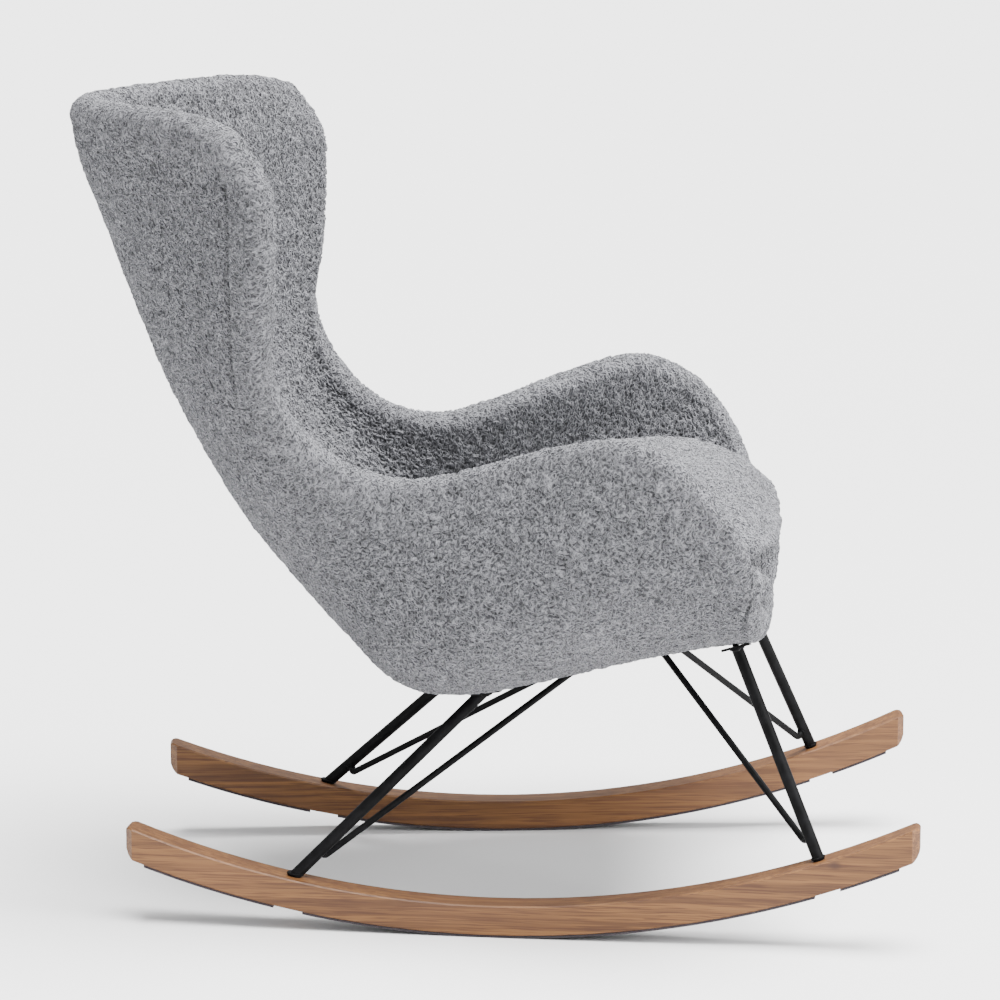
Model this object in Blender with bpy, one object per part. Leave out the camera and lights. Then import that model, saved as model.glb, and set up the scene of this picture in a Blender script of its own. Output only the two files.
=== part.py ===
"""Upholstered wing rocking chair: a padded bucket shell on four steel legs and two bent wooden rockers.

Metres, +Z up, the sitter looks along -Y, and left and right are the sitter's: left is +X.
The origin is on the floor under the middle of the chair.
"""

import math

import bmesh
import bpy
import numpy as np
from mathutils import Matrix, Vector
from mathutils.bvhtree import BVHTree

# ------------------------------------------------------------------ driving dimensions
GAP = 0.0003                     # air between pieces that touch
SIDES = (("left", 1), ("right", -1))

ROCKER_RADIUS = 1.221            # radius of the rocker's underside
ROCKER_HEIGHT = 0.0353
ROCKER_WIDTH = 0.040
ROCKER_EASE = 0.0015             # eased long edges
ROCKER_FRONT = math.radians(-24.11)
ROCKER_REAR = math.radians(20.53)
ROCKER_SPANS = 36
END_CHAMFER = 0.009              # chamfered upright edges at the ends
# Rounding of the ends: inset, share of the chamfer, trim below, trim above
ROCKER_END = (
    (0.0, 1.0, 0.0080, 0.0040),
    (0.0025, 0.72, 0.0035, 0.0012),
    (0.0060, 0.33, 0.0008, 0.0),
    (0.0090, 0.0, 0.0, 0.0),
)
ROCKER_HALF_GAUGE = 0.2472       # centre line to rocker, at the lowest point
TOE_OUT = math.radians(4.88)     # the rockers stand wider at the front
ORIGIN_SHIFT = -0.0053           # puts the origin midway between the front and rear ends

GLIDE_THICK = 0.003
GLIDE_WIDTH = 0.037
GLIDE_EASE = 0.0004
# Place, first and last angle on the rocker, spans
GLIDES = (("front", -22.95, -19.56, 6), ("middle", -18.13, 10.29, 29), ("rear", 11.95, 19.42, 10))

LEG_RADIUS = 0.007
LEG_BORE = 0.0055
FRONT_LEG_ANGLE = math.radians(-18.84)
REAR_LEG_ANGLE = math.radians(11.20)
FRONT_LEG_AIM = Vector((0.1983, -0.2851, 0.333))
REAR_LEG_AIM = Vector((0.1499, 0.0102, 0.268))
FOOT_THICK = 0.004

FOOT_SIDES = 24                  # facets round a leg

BOLT_RADIUS = 0.003
BOLT_SLACK = 0.0003              # round a bolt in its hole
BOLT_HEAD_RADIUS = 0.0055
BOLT_HEAD_HEIGHT = 0.0035
BOLT_SINK = 0.005                # depth of the counterbore under the rocker
WASHER_THICK = 0.0012
WASHER_RADIUS = 0.0062

PLATE_THICK = 0.003
PLATE_CORNER = 0.006
LEG_PLATE = (0.050, 0.034)
LEG_PLATE_SCREWS = 0.017         # screw to plate centre
CENTRE_PLATE = (0.112, 0.150)
CENTRE_PLATE_Y = -0.147
CENTRE_SCREWS = (0.046, 0.064)

ROD_RADIUS = 0.004
ROD_STUB = 0.009
ROD_BEND = 0.007
ROD_ENDS = {"front": (0.028, -0.195, 0.047), "rear": (0.042, -0.098, 0.024)}  # up the leg, top y, top x
ROD_TOP_END = 0.009              # where the rods stop beside the centre line

COVER_THICK = 0.005              # cover and its thin padding, outside the shell
CORE_THICK = 0.011               # moulded plywood
RIM_HALF = 0.020                 # half the padded thickness at the rim
CORNER_DROP = 0.018              # rounding of the back's upper corners
RIM_BAND = 0.034                 # width of the padded band that wraps the rim
FRONT_BAND = 0.010               # the same under the seat's front edge
SEAM_PLAY = 0.004                # play round the layers inside the band, as a share of the half width
ROW_PLAY = 8.0                   # the same play along the rows, as rows per share
INSERT_RADIUS = 0.005
INSERT_LENGTH = 0.0085
INSERT_SINK = 0.002              # below the plywood's face
SCREW_LENGTH = 0.018
SCREW_HEAD_HEIGHT = 0.0033
PROBES = 15                      # measuring rays across a plate, each way

# Rows of the shell from the seat's front edge to the top of the back, all on the middle of its thickness:
# spine y, z; rim x, y, z; flat share of the half width; wall control point, as shares of width and depth;
# half the thickness at the spine
SHELL_ROWS = (
    (-0.300, 0.353, 0.318, -0.300, 0.433, 0.75, 0.97, 0.35, 0.0275),
    (-0.220, 0.336, 0.342, -0.271, 0.493, 0.74, 0.95, 0.38, 0.0275),
    (-0.130, 0.315, 0.346, -0.221, 0.549, 0.78, 0.97, 0.34, 0.0275),
    (-0.040, 0.294, 0.322, -0.153, 0.579, 0.86, 1.02, 0.24, 0.0265),
    (0.040, 0.280, 0.281, -0.062, 0.560, 0.95, 1.06, 0.15, 0.0250),
    (0.105, 0.285, 0.248, 0.029, 0.529, 0.91, 1.09, 0.19, 0.0240),
    (0.165, 0.331, 0.234, 0.104, 0.516, 0.72, 1.06, 0.36, 0.0220),
    (0.222, 0.391, 0.242, 0.172, 0.536, 0.60, 1.00, 0.47, 0.0210),
    (0.280, 0.463, 0.262, 0.227, 0.586, 0.57, 0.97, 0.50, 0.0200),
    (0.330, 0.542, 0.284, 0.256, 0.651, 0.50, 0.90, 0.55, 0.0200),
    (0.376, 0.625, 0.310, 0.257, 0.716, 0.45, 0.84, 0.60, 0.0200),
    (0.415, 0.718, 0.328, 0.256, 0.783, 0.40, 0.78, 0.66, 0.0200),
    (0.450, 0.810, 0.333, 0.256, 0.843, 0.35, 0.74, 0.70, 0.0200),
    (0.478, 0.881, 0.330, 0.260, 0.888, 0.31, 0.71, 0.71, 0.0200),
    (0.489, 0.932, 0.316, 0.288, 0.940, 0.30, 0.70, 0.72, 0.0200),
)
SECTION_STEPS = 40               # steps along one half of a row's curve
SLOPE_STEP = 0.02                # step in u and v for measuring slopes
ROW_STEPS = 20                   # cells between the two end bands
COLUMN_STEPS = 18
CAP_STEPS = 4                    # facets round the rim

# Half outline of the seat cushion's edge from the middle of its front to the middle of its back
CUSHION_OUTLINE = (
    (0.000, -0.338), (0.100, -0.337), (0.180, -0.333), (0.240, -0.315), (0.268, -0.285), (0.274, -0.240),
    (0.268, -0.180), (0.256, -0.110), (0.238, -0.040), (0.216, 0.020), (0.192, 0.070), (0.150, 0.110),
    (0.085, 0.130), (0.000, 0.136),
)
CUSHION_TOP = ((-0.40, 0.490), (-0.30, 0.506), (-0.22, 0.511), (-0.10, 0.500), (0.02, 0.478), (0.14, 0.450))
CUSHION_CROWN = 0.045            # drop of the top from the middle to the edge
CUSHION_BAND = 0.072             # height of the side band at the front
CUSHION_LEAST_BAND = 0.010       # the same where the bucket pinches the cushion
CUSHION_CLEAR = 0.002


# ------------------------------------------------------------------ helpers
def clear_scene():
    for thing in list(bpy.data.objects):
        bpy.data.objects.remove(thing)


def finish_material(name, colour, roughness, metallic=0.0):
    """A plain Principled material."""
    made = bpy.data.materials.new(name)
    made.use_nodes = True
    shader = made.node_tree.nodes["Principled BSDF"]
    shader.inputs["Base Color"].default_value = (*colour, 1.0)
    shader.inputs["Roughness"].default_value = roughness
    shader.inputs["Metallic"].default_value = metallic
    return made


def add_mesh(name, verts, faces, material, frame=None, smooth=0.6):
    """An object made of a closed mesh, with its faces turned outwards."""
    mesh = bpy.data.meshes.new(name)
    mesh.from_pydata([tuple(v) for v in verts], [], faces)
    shaped = bmesh.new()
    shaped.from_mesh(mesh)
    bmesh.ops.recalc_face_normals(shaped, faces=shaped.faces)
    shaped.to_mesh(mesh)
    shaped.free()
    mesh.shade_smooth()
    mesh.set_sharp_from_angle(angle=smooth)
    thing = bpy.data.objects.new(name, mesh)
    thing.data.materials.append(material)
    thing.parent = frame
    bpy.context.scene.collection.objects.link(thing)
    return thing


def add_frame(name, location, turn=0.0):
    """An empty that carries pieces."""
    frame = bpy.data.objects.new(name, None)
    frame.location = location
    frame.rotation_euler = (0.0, 0.0, turn)
    bpy.context.scene.collection.objects.link(frame)
    bpy.context.view_layer.update()
    return frame


def lofted(rings):
    """Vertices and faces of closed rings joined in order, with flat ends."""
    count = len(rings[0])
    verts = [p for ring in rings for p in ring]
    faces = [tuple(range(count)), tuple(range(len(verts) - count, len(verts)))]
    for r in range(len(rings) - 1):
        for k in range(count):
            near, far = r * count + k, r * count + (k + 1) % count
            faces.append((near, far, far + count, near + count))
    return verts, faces


def looped(rings):
    """The same for rings that close on themselves, as the walls of a tube do."""
    count = len(rings[0])
    verts = [p for ring in rings for p in ring]
    faces = []
    for r in range(len(rings)):
        after = (r + 1) % len(rings)
        for k in range(count):
            nxt = (k + 1) % count
            faces.append((r * count + k, r * count + nxt, after * count + nxt, after * count + k))
    return verts, faces


def sideways(axis):
    """Two unit vectors square to axis and to each other."""
    first = axis.orthogonal().normalized()
    return first, axis.cross(first)


def turned(profile, base, axis, count, solid=True):
    """A turned body: profile is (radius, height) pairs along axis from base."""
    first, second = sideways(axis)
    rings = []
    for radius, height in profile:
        ring = []
        for k in range(count):
            angle = 2 * math.pi * k / count
            ring.append(base + axis * height + (first * math.cos(angle) + second * math.sin(angle)) * radius)
        rings.append(ring)
    return lofted(rings) if solid else looped(rings)


def cut(thing, name, base, axis, radius, length, count=20):
    """Bores a round hole from base along axis."""
    verts, faces = turned(((radius, 0.0), (radius, length)), base, axis, count)
    cutter = add_mesh(name, verts, faces, thing.data.materials[0], thing.parent)
    cutter.hide_render = True
    cutter.display_type = "WIRE"
    hole = thing.modifiers.new(name, "BOOLEAN")
    hole.operation = "DIFFERENCE"
    hole.solver = "EXACT"
    hole.object = cutter


def catmull(four, t):
    """Catmull-Rom value between the second and third of four rows."""
    a, b, c, d = four
    return 0.5 * (2 * b + (c - a) * t + (2 * a - 5 * b + 4 * c - d) * t**2 + (3 * b - a - 3 * c + d) * t**3)


def smoothed(points, per_span):
    """A Catmull-Rom curve through the points."""
    rows = np.array(points, float)
    padded = np.vstack((2 * rows[0] - rows[1], rows, 2 * rows[-1] - rows[-2]))
    curve = []
    for k in range(len(rows) - 1):
        for step in range(per_span):
            curve.append(catmull(padded[k:k + 4], step / per_span))
    curve.append(rows[-1])
    return np.array(curve)


def rounded_path(points, radius, steps=5):
    """The points joined by straight runs, with each inner corner replaced by an arc-like bend."""
    path = [points[0]]
    for before, corner, after in zip(points, points[1:], points[2:]):
        into = (before - corner).normalized()
        out = (after - corner).normalized()
        reach = min(radius, (before - corner).length * 0.45, (after - corner).length * 0.45)
        start, end = corner + into * reach, corner + out * reach
        for k in range(steps + 1):
            t = k / steps
            path.append(start * (1 - t) ** 2 + corner * 2 * t * (1 - t) + end * t**2)
    path.append(points[-1])
    return path


# ------------------------------------------------------------------ rockers
ROCKER_CENTRE = ROCKER_RADIUS + GLIDE_THICK


def on_arc(angle, radius, across=0.0):
    """A point in a rocker's own frame: angle from its lowest point, towards the rear."""
    return Vector((across, radius * math.sin(angle), ROCKER_CENTRE - radius * math.cos(angle)))


def downwards(angle):
    """The direction away from the rocker's centre of curvature."""
    return Vector((0.0, math.sin(angle), -math.cos(angle)))


def bar_rings(stations, low, high, ease):
    """Eight-sided upright sections of a curved bar: angle, half width, low trim, high trim."""
    rings = []
    for angle, half, low_trim, high_trim in stations:
        bottom, top = low - low_trim, high + high_trim
        corners = (
            (half - ease, bottom), (half, bottom - ease), (half, top + ease), (half - ease, top),
            (ease - half, top), (-half, top + ease), (-half, bottom - ease), (ease - half, bottom),
        )
        run = ROCKER_RADIUS * math.sin(angle)
        rings.append([on_arc(math.asin(run / radius), radius, across) for across, radius in corners])
    return rings


def rocker_stations():
    """Even stations along the rocker, with chamfered and rounded ends."""
    half = ROCKER_WIDTH / 2
    front, rear = [], []
    for inset, narrow, low_trim, high_trim in ROCKER_END:
        turn = inset / ROCKER_RADIUS
        section = (half - END_CHAMFER * narrow, low_trim, high_trim)
        front.append((ROCKER_FRONT + turn, *section))
        rear.append((ROCKER_REAR - turn, *section))
    first, last = front[-1][0], rear[-1][0]
    turns = np.linspace(first, last, ROCKER_SPANS + 1)[1:-1]
    return front + [(turn, half, 0.0, 0.0) for turn in turns] + rear[::-1]


def build_rocker(side, frame, materials):
    """A bent wooden rocker with its glides, bolts, washers and foot plates."""
    top = ROCKER_RADIUS - ROCKER_HEIGHT
    verts, faces = lofted(bar_rings(rocker_stations(), ROCKER_RADIUS, top, ROCKER_EASE))
    rocker = add_mesh(f"rocker_{side}", verts, faces, materials["wood"], frame, smooth=0.35)
    for end, angle in (("front", FRONT_LEG_ANGLE), ("rear", REAR_LEG_ANGLE)):
        down = downwards(angle)
        foot = on_arc(angle, top)
        seat = on_arc(angle, ROCKER_RADIUS - BOLT_SINK)
        cut(rocker, f"cut_shank_{end}_{side}", foot - down * 0.01, down, BOLT_RADIUS + GAP, 0.06)
        cut(rocker, f"cut_head_{end}_{side}", seat, down, WASHER_RADIUS + GAP, 0.02)
        build_foot(end, side, foot, seat, down, frame, materials)
    for place, start, stop, spans in GLIDES:
        turns = np.linspace(math.radians(start), math.radians(stop), spans + 1)
        stations = [(turn, GLIDE_WIDTH / 2, 0.0, 0.0) for turn in turns]
        rings = bar_rings(stations, ROCKER_RADIUS + GLIDE_THICK, ROCKER_RADIUS + GAP, GLIDE_EASE)
        verts, faces = lofted(rings)
        add_mesh(f"glide_{place}_{side}", verts, faces, materials["glide"], frame, smooth=0.35)


def build_foot(end, side, foot, seat, down, frame, materials):
    """The bolt that holds a leg, its washer, and the foot plate that closes the end of the leg."""
    oval, hole = leg_footprint(end), foot_hole(down)
    low, high = foot - down * GAP, foot - down * FOOT_THICK
    outside = [[base + p for p in oval] for base in (low, high)]
    inside = [[base + p for p in hole] for base in (high, low)]
    verts, faces = looped(outside + inside)
    add_mesh(f"foot_plate_{end}_{side}", verts, faces, materials["steel"], frame)

    hole_radius = BOLT_RADIUS + BOLT_SLACK
    washer = (
        (hole_radius, GAP), (WASHER_RADIUS, GAP), (WASHER_RADIUS, WASHER_THICK), (hole_radius, WASHER_THICK),
    )
    verts, faces = turned(washer, seat, down, 20, solid=False)
    add_mesh(f"washer_{end}_{side}", verts, faces, materials["zinc"], frame)

    under = WASHER_THICK + GAP
    shank = -(ROCKER_HEIGHT - BOLT_SINK + FOOT_THICK)
    bolt = (
        (BOLT_RADIUS, shank), (BOLT_RADIUS, under), (BOLT_HEAD_RADIUS, under),
        (BOLT_HEAD_RADIUS, under + BOLT_HEAD_HEIGHT * 0.5), (BOLT_HEAD_RADIUS * 0.7, under + BOLT_HEAD_HEIGHT),
    )
    verts, faces = turned(bolt, seat, down, 20)
    add_mesh(f"foot_bolt_{end}_{side}", verts, faces, materials["zinc"], frame)


def foot_hole(down):
    """Points of the round bolt hole in a foot plate."""
    first = Vector((1.0, 0.0, 0.0))
    second = first.cross(down)
    radius = BOLT_RADIUS + BOLT_SLACK
    steps = [2 * math.pi * k / FOOT_SIDES for k in range(FOOT_SIDES)]
    return [first * radius * math.cos(a) + second * radius * math.sin(a) for a in steps]


def rocker_place(side_sign, point):
    """A rocker-frame point in the chair's frame."""
    turn = Matrix.Rotation(TOE_OUT * side_sign, 3, "Z")
    return turn @ point + Vector((side_sign * ROCKER_HALF_GAUGE, 0.0, 0.0))


def leg_line(end, sign):
    """A leg's axis in the chair's frame: its foot on the rocker, and its direction."""
    angle = FRONT_LEG_ANGLE if end == "front" else REAR_LEG_ANGLE
    aim = FRONT_LEG_AIM if end == "front" else REAR_LEG_AIM
    foot = rocker_place(sign, on_arc(angle, ROCKER_RADIUS - ROCKER_HEIGHT))
    top = Vector((aim.x * sign, aim.y, aim.z))
    return foot, (top - foot).normalized()


def leg_footprint(end):
    """The oval that the leg's tube makes on the rocker, in the rocker's frame and about the foot."""
    angle = FRONT_LEG_ANGLE if end == "front" else REAR_LEG_ANGLE
    down = downwards(angle)
    axis = leg_line(end, 1)[1].copy()
    axis.rotate(Matrix.Rotation(-TOE_OUT, 3, "Z"))
    first = Vector((1.0, 0.0, 0.0))
    second = first.cross(down)
    oval = []
    for k in range(FOOT_SIDES):
        a = 2 * math.pi * k / FOOT_SIDES
        square = first * math.cos(a) + second * math.sin(a)
        lean = square.dot(axis)
        reach = LEG_RADIUS / math.sqrt(1 - lean * lean)
        oval.append(square * reach)
    return oval


# ------------------------------------------------------------------ shell surface
ROW_TABLE = np.array(SHELL_ROWS)
LAST_ROW = len(SHELL_ROWS) - 1


def row_at(u):
    """The shell's row values at u, from 0 at the seat's front edge to LAST_ROW at the top."""
    padded = np.vstack((2 * ROW_TABLE[0] - ROW_TABLE[1], ROW_TABLE, 2 * ROW_TABLE[-1] - ROW_TABLE[-2]))
    k = int(min(max(math.floor(u), 0), LAST_ROW - 1))
    return catmull(padded[k:k + 4], u - k)


def half_section(u):
    """Points from the spine to the rim on the middle of the thickness."""
    spine_y, spine_z, rim_x, rim_y, rim_z, flat, wall_x, wall_d, _ = row_at(u)
    t = np.linspace(0.0, 1.0, SECTION_STEPS + 1)
    across = rim_x * (3 * (1 - t) ** 2 * t * flat + 3 * (1 - t) * t**2 * wall_x + t**3)
    depth = 3 * (1 - t) * t**2 * wall_d + t**3
    return np.stack((across, spine_y + (rim_y - spine_y) * depth, spine_z + (rim_z - spine_z) * depth), axis=1)


def section_lengths(section):
    steps = np.linalg.norm(np.diff(section, axis=0), axis=1)
    return np.concatenate(([0.0], np.cumsum(steps)))


def middle(u, v):
    """A point on the middle of the shell: v is the signed share of the way from the spine to the rim."""
    section = half_section(u)
    along = section_lengths(section)
    want = abs(v) * along[-1]
    point = np.array([np.interp(want, along, section[:, k]) for k in range(3)])
    if abs(v) > 1:
        point += (section[-1] - section[-2]) / (along[-1] - along[-2]) * (want - along[-1])
    point[0] *= math.copysign(1.0, v)
    point[2] -= CORNER_DROP * (u / LAST_ROW) ** 10 * abs(v) ** 8
    return point


def slopes(u, v):
    """Directions of growing u and growing v."""
    along = middle(min(u + SLOPE_STEP, LAST_ROW), v) - middle(max(u - SLOPE_STEP, 0.0), v)
    across = middle(u, v + SLOPE_STEP) - middle(u, v - SLOPE_STEP)
    return along / np.linalg.norm(along), across / np.linalg.norm(across)


def outward(u, v):
    """The unit normal on the side away from the sitter."""
    along, across = slopes(u, v)
    normal = np.cross(along, across)
    return normal / np.linalg.norm(normal)


def half_thickness(u, v):
    share = min(abs(v), 1.0)
    ease = share * share * (3 - 2 * share)
    return RIM_HALF + (row_at(u)[8] - RIM_HALF) * (1 - ease)


def shell_point(u, v, depth_from_outside):
    """A point that far in from the outer surface."""
    return middle(u, v) + outward(u, v) * (half_thickness(u, v) - depth_from_outside)


def band_share(u):
    """How far out the rim band starts at u."""
    return 1 - RIM_BAND / section_lengths(half_section(u))[-1]


def band_rows():
    """How far in the band starts, in rows, at the front edge and at the top."""
    front = FRONT_BAND / np.linalg.norm(middle(0.5, 0) - middle(0, 0)) * 0.5
    top = RIM_BAND / np.linalg.norm(middle(LAST_ROW - 0.5, 0) - middle(LAST_ROW, 0)) * 0.5
    return front, LAST_ROW - top


def grid(play=0.0):
    """(u, v) pairs of the whole shell, with the band's inner edge as its second and last but one lines.

    play moves only those two lines inwards, so that the facets of every layer stay parallel.
    """
    first, last = band_rows()
    inner = np.linspace(first, last, ROW_STEPS + 1)
    inner[0] += play * ROW_PLAY
    inner[-1] -= play * ROW_PLAY
    pairs = []
    for u in (0.0, *inner, float(LAST_ROW)):
        edge = band_share(u)
        inside = np.linspace(-edge, edge, COLUMN_STEPS + 1)
        inside[0] += play
        inside[-1] -= play
        pairs.append([(u, v) for v in (-1.0, *inside, 1.0)])
    return pairs


def halves(corners, column, columns):
    """A cell's two triangles, split the mirrored way on the two sides of the chair."""
    a, b, c, d = corners
    if column < (columns - 1) / 2:
        return [(a, b, c), (a, c, d)]
    return [(a, b, d), (b, c, d)]


def grid_faces(rows, columns, offset=0):
    faces = []
    for r in range(rows - 1):
        for c in range(columns - 1):
            a = offset + r * columns + c
            faces += halves((a, a + 1, a + columns + 1, a + columns), c, columns)
    return faces


def loop_of(rows, columns, inset=0):
    """Indices round the edge of a grid, or round a line inset from its edge."""
    low, right, high = inset, columns - 1 - inset, rows - 1 - inset
    loop = [(low, c) for c in range(low, right)]
    loop += [(r, right) for r in range(low, high)]
    loop += [(high, c) for c in range(right, low, -1)]
    loop += [(r, low) for r in range(high, low, -1)]
    return loop


def build_layer(name, outer_depth, inner_depth, material):
    """A shell layer inside the rim band, as a closed slab."""
    cells = [line[1:-1] for line in grid(SEAM_PLAY)[1:-1]]
    rows, columns = len(cells), len(cells[0])
    verts = [shell_point(u, v, outer_depth) for line in cells for u, v in line]
    verts += [shell_point(u, v, inner_depth) for line in cells for u, v in line]
    half = rows * columns
    faces = grid_faces(rows, columns) + grid_faces(rows, columns, half)
    loop = [r * columns + c for r, c in loop_of(rows, columns)]
    for a, b in zip(loop, loop[1:] + loop[:1]):
        faces.append((a, b, b + half, a + half))
    return add_mesh(name, verts, faces, material, CHAIR, smooth=0.9)


def rim_outward(u, v):
    """The direction in the surface that leaves the shell at its edge."""
    along, across = slopes(u, v)
    way = np.zeros(3)
    if u <= 0:
        way -= along
    if u >= LAST_ROW:
        way += along
    if abs(v) >= 1:
        way += across * math.copysign(1.0, v)
    return way / np.linalg.norm(way)


def build_inner_upholstery(material):
    """Foam and cover on the sitter's side, which wrap the rim and end in a band on the outside."""
    cells = grid()
    rows, columns = len(cells), len(cells[0])
    faces_side = COVER_THICK + CORE_THICK + 2 * GAP
    verts = []
    for line in cells:
        verts += [shell_point(u, v, 2 * half_thickness(u, v)) for u, v in line]
    faces = grid_faces(rows, columns)

    edge = loop_of(rows, columns)
    previous = [r * columns + c for r, c in edge]
    for step in range(1, CAP_STEPS + 1):
        angle = math.pi * (step / CAP_STEPS - 0.5)
        ring = []
        for r, c in edge:
            u, v = cells[r][c]
            radius = half_thickness(u, v)
            swing = outward(u, v) * math.sin(angle) + rim_outward(u, v) * math.cos(angle)
            ring.append(len(verts))
            verts.append(middle(u, v) + swing * radius)
        for k in range(len(ring)):
            n = (k + 1) % len(ring)
            faces.append((previous[k], previous[n], ring[n], ring[k]))
        previous = ring

    inset = loop_of(rows, columns, 1)
    lips = {}
    for depth in (0.0, faces_side):
        for r, c in inset:
            lips[r, c, depth] = len(verts)
            verts.append(shell_point(*cells[r][c], depth))
    outside = dict(zip(edge, previous))
    for r in range(rows - 1):
        for c in range(columns - 1):
            corners = ((r, c), (r, c + 1), (r + 1, c + 1), (r + 1, c))
            if not any(cell in outside for cell in corners):
                continue
            picked = [outside[cell] if cell in outside else lips[(*cell, 0.0)] for cell in corners]
            faces += halves(picked, c, columns)
    for a, b in zip(inset, inset[1:] + inset[:1]):
        faces.append((lips[(*a, 0.0)], lips[(*b, 0.0)], lips[(*b, faces_side)], lips[(*a, faces_side)]))

    floor = {cell: lips[(*cell, faces_side)] for cell in inset}
    for r in range(1, rows - 1):
        for c in range(1, columns - 1):
            if (r, c) not in floor:
                floor[r, c] = len(verts)
                verts.append(shell_point(*cells[r][c], faces_side))
    for r in range(1, rows - 2):
        for c in range(1, columns - 2):
            picked = (floor[r, c], floor[r, c + 1], floor[r + 1, c + 1], floor[r + 1, c])
            faces += halves(picked, c, columns)
    return add_mesh("inner_upholstery", verts, faces, material, CHAIR, smooth=0.9)


# ------------------------------------------------------------------ steel under the shell
def tree_of(*things):
    """A search tree of some objects' faces."""
    verts, faces = [], []
    for thing in things:
        start = len(verts)
        verts += [corner.co.copy() for corner in thing.data.vertices]
        faces += [[start + k for k in face.vertices] for face in thing.data.polygons]
    return BVHTree.FromPolygons(verts, faces)


def plate_seat(padding, start, way, size):
    """Where a flat plate rests on the padded underside that a line meets: its centre and outward normal."""
    first, second = sideways(way)
    reach = math.hypot(*size) / 2
    hits = []
    for i in np.linspace(-reach, reach, PROBES):
        for j in np.linspace(-reach, reach, PROBES):
            place, normal, _, _ = padding.ray_cast(start + first * i + second * j, way)
            if place:
                hits.append((place, normal))
    centre = padding.ray_cast(start, way)[0]
    normal = sum((facing for _, facing in hits), Vector()).normalized()
    highest = max((place - centre).dot(normal) for place, _ in hits)
    return centre + normal * highest, normal


def plate_frame(point, normal):
    """A matrix whose X is sideways, Y forwards on the plate, and Z out of the shell."""
    z = normal.normalized()
    x = (Vector((1.0, 0.0, 0.0)) - z * z.x).normalized()
    return Matrix((x, z.cross(x), z)).transposed(), point


def build_plate(name, frame, size, holes, material):
    """A flat steel plate with rounded corners and screw holes, just off the shell."""
    turn, point = frame
    outline = []
    for cx, cy, start in ((1, 1, 0), (-1, 1, 90), (-1, -1, 180), (1, -1, 270)):
        for k in range(4):
            a = math.radians(start + 30 * k)
            x = cx * (size[0] / 2 - PLATE_CORNER) + PLATE_CORNER * math.cos(a)
            y = cy * (size[1] / 2 - PLATE_CORNER) + PLATE_CORNER * math.sin(a)
            outline.append((x, y))
    rings = [[point + turn @ Vector((x, y, z)) for x, y in outline] for z in (GAP, GAP + PLATE_THICK)]
    verts, faces = lofted(rings)
    plate = add_mesh(name, verts, faces, material, CHAIR)
    for k, (x, y) in enumerate(holes):
        base = point + turn @ Vector((x, y, -0.01))
        cut(plate, f"cut_{name}_{k}", base, turn @ Vector((0, 0, 1)), BOLT_RADIUS + BOLT_SLACK, 0.03)


def build_screw(name, frame, x, y, materials, layers):
    """A screw through a plate, the cover and the plywood; returns where it goes in, and its axis."""
    turn, point = frame
    axis = turn @ Vector((0.0, 0.0, 1.0))
    place = point + turn @ Vector((x, y, 0.0))
    under = 2 * GAP + PLATE_THICK
    profile = (
        (BOLT_RADIUS, under - SCREW_LENGTH), (BOLT_RADIUS, under), (BOLT_HEAD_RADIUS, under),
        (BOLT_HEAD_RADIUS, under + SCREW_HEAD_HEIGHT * 0.45),
        (BOLT_HEAD_RADIUS * 0.65, under + SCREW_HEAD_HEIGHT),
    )
    verts, faces = turned(profile, place, axis, 16)
    add_mesh(name, verts, faces, materials["black_steel"], CHAIR)
    cut(layers[0], f"cut_cover_{name}", place - axis * 0.03, axis, BOLT_RADIUS + BOLT_SLACK, 0.06, 12)
    return place, axis


def build_insert(name, place, axis, materials, core):
    """A threaded insert sunk in the plywood round a screw."""
    face = tree_of(core).ray_cast(place, -axis)[3]
    low, high = -face - INSERT_SINK - INSERT_LENGTH, -face - INSERT_SINK
    thread = BOLT_RADIUS + GAP
    verts, faces = turned(
        ((thread, low), (INSERT_RADIUS, low), (INSERT_RADIUS, high), (thread, high)), place, axis, 16, solid=False
    )
    add_mesh(name, verts, faces, materials["zinc"], CHAIR)
    cut(core, f"cut_core_{name}", place - axis * 0.03, axis, INSERT_RADIUS + GAP, 0.06, 12)


def build_leg(end, side, sign, materials, layers, padding):
    """A steel leg from its foot plate to the plate under the shell, with that plate and its fasteners."""
    foot, axis = leg_line(end, sign)
    angle = FRONT_LEG_ANGLE if end == "front" else REAR_LEG_ANGLE
    up = Matrix.Rotation(TOE_OUT * sign, 3, "Z") @ -downwards(angle)
    point, normal = plate_seat(padding, foot, axis, LEG_PLATE)
    frame = plate_frame(point, normal)
    holes = ((LEG_PLATE_SCREWS, 0.0), (-LEG_PLATE_SCREWS, 0.0))
    build_plate(f"leg_plate_{end}_{side}", frame, LEG_PLATE, holes, materials["black_steel"])
    for number, (x, y) in enumerate(holes, 1):
        name = f"{end}_{side}_{number}"
        place, way = build_screw(f"plate_screw_{name}", frame, x, y, materials, layers)
        build_insert(f"plate_insert_{name}", place, way, materials, layers[1])

    low = foot + up * (FOOT_THICK + GAP)
    high = point + normal * (2 * GAP + PLATE_THICK)
    first, second = sideways(axis)
    ends = ((LEG_RADIUS, low, up), (LEG_RADIUS, high, normal), (LEG_BORE, high, normal), (LEG_BORE, low, up))
    rings = []
    for radius, origin, square in ends:
        ring = []
        for k in range(FOOT_SIDES):
            a = 2 * math.pi * k / FOOT_SIDES
            start = foot + (first * math.cos(a) + second * math.sin(a)) * radius
            ring.append(start + axis * ((origin - start).dot(square) / axis.dot(square)))
        rings.append(ring)
    verts, faces = looped(rings)
    add_mesh(f"leg_{end}_{side}", verts, faces, materials["black_steel"], CHAIR)


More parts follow.
